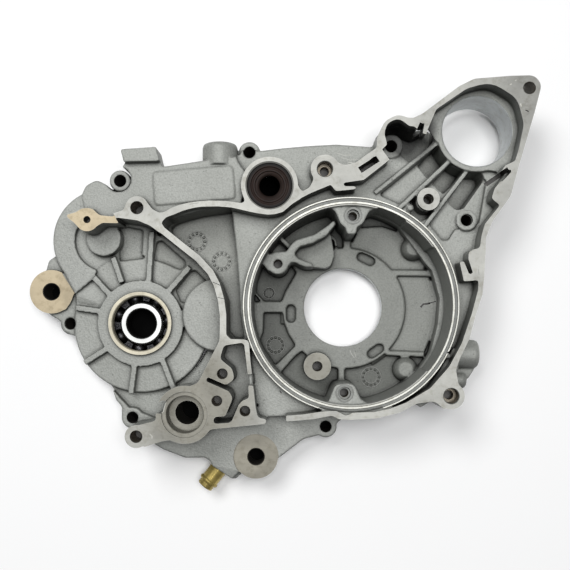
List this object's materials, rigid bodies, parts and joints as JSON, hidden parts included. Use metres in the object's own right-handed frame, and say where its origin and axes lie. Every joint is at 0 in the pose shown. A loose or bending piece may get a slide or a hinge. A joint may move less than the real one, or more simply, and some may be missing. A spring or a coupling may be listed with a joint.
{
  "type": "crankcase half",
  "caption": "Cast crankcase half with round clutch chamber, ribbed gear case with ball bearing, starter socket, oil seal and hose nipple.",
  "frame": {"origin": "middle of the part's plan, on the split face it lies on", "axes": "+Z out of the cover's joint face, +X from the gear case towards the clutch chamber and starter socket, +Y towards the oil seal"},
  "size_m": [0.3472, 0.2823, 0.06],
  "materials": {
    "casting": "die-cast, bead-blasted, with bare machined faces",
    "bearing_steel": "ground",
    "balls": "polished",
    "cage": "pressed sheet steel",
    "seal_rubber": "moulded, dark brown",
    "spring_steel": "bright drawn wire",
    "plated_brass": "yellow plating"
  },
  "bodies": {
    "case": {"crankcase_half": "casting", "bearing_outer_race": "bearing_steel", "oil_seal": "seal_rubber", "seal_spring": "spring_steel", "hose_nipple": "plated_brass"},
    "inner_race": {"bearing_inner_race": "bearing_steel"},
    "ball_cage": {"ball_1": "balls", "ball_2": "balls", "ball_3": "balls", "ball_4": "balls", "ball_5": "balls", "ball_6": "balls", "ball_7": "balls", "cage_upper": "cage", "cage_lower": "cage", "cage_rivets": "cage"}
  },
  "joints": [
    {"name": "bearing_spin", "type": "hinge", "parent": "case", "child": "inner_race", "pos_m": [-0.0956, -0.02232, 0.0185], "axis": [0, 0, 1], "continuous": true},
    {"name": "cage_orbit", "type": "hinge", "parent": "case", "child": "ball_cage", "pos_m": [-0.0956, -0.02232, 0.0185], "axis": [0, 0, 1], "continuous": true}
  ],
  "couplings": [
    {"joint": "cage_orbit", "follows": "bearing_spin", "ratio": 0.3677}
  ]
}
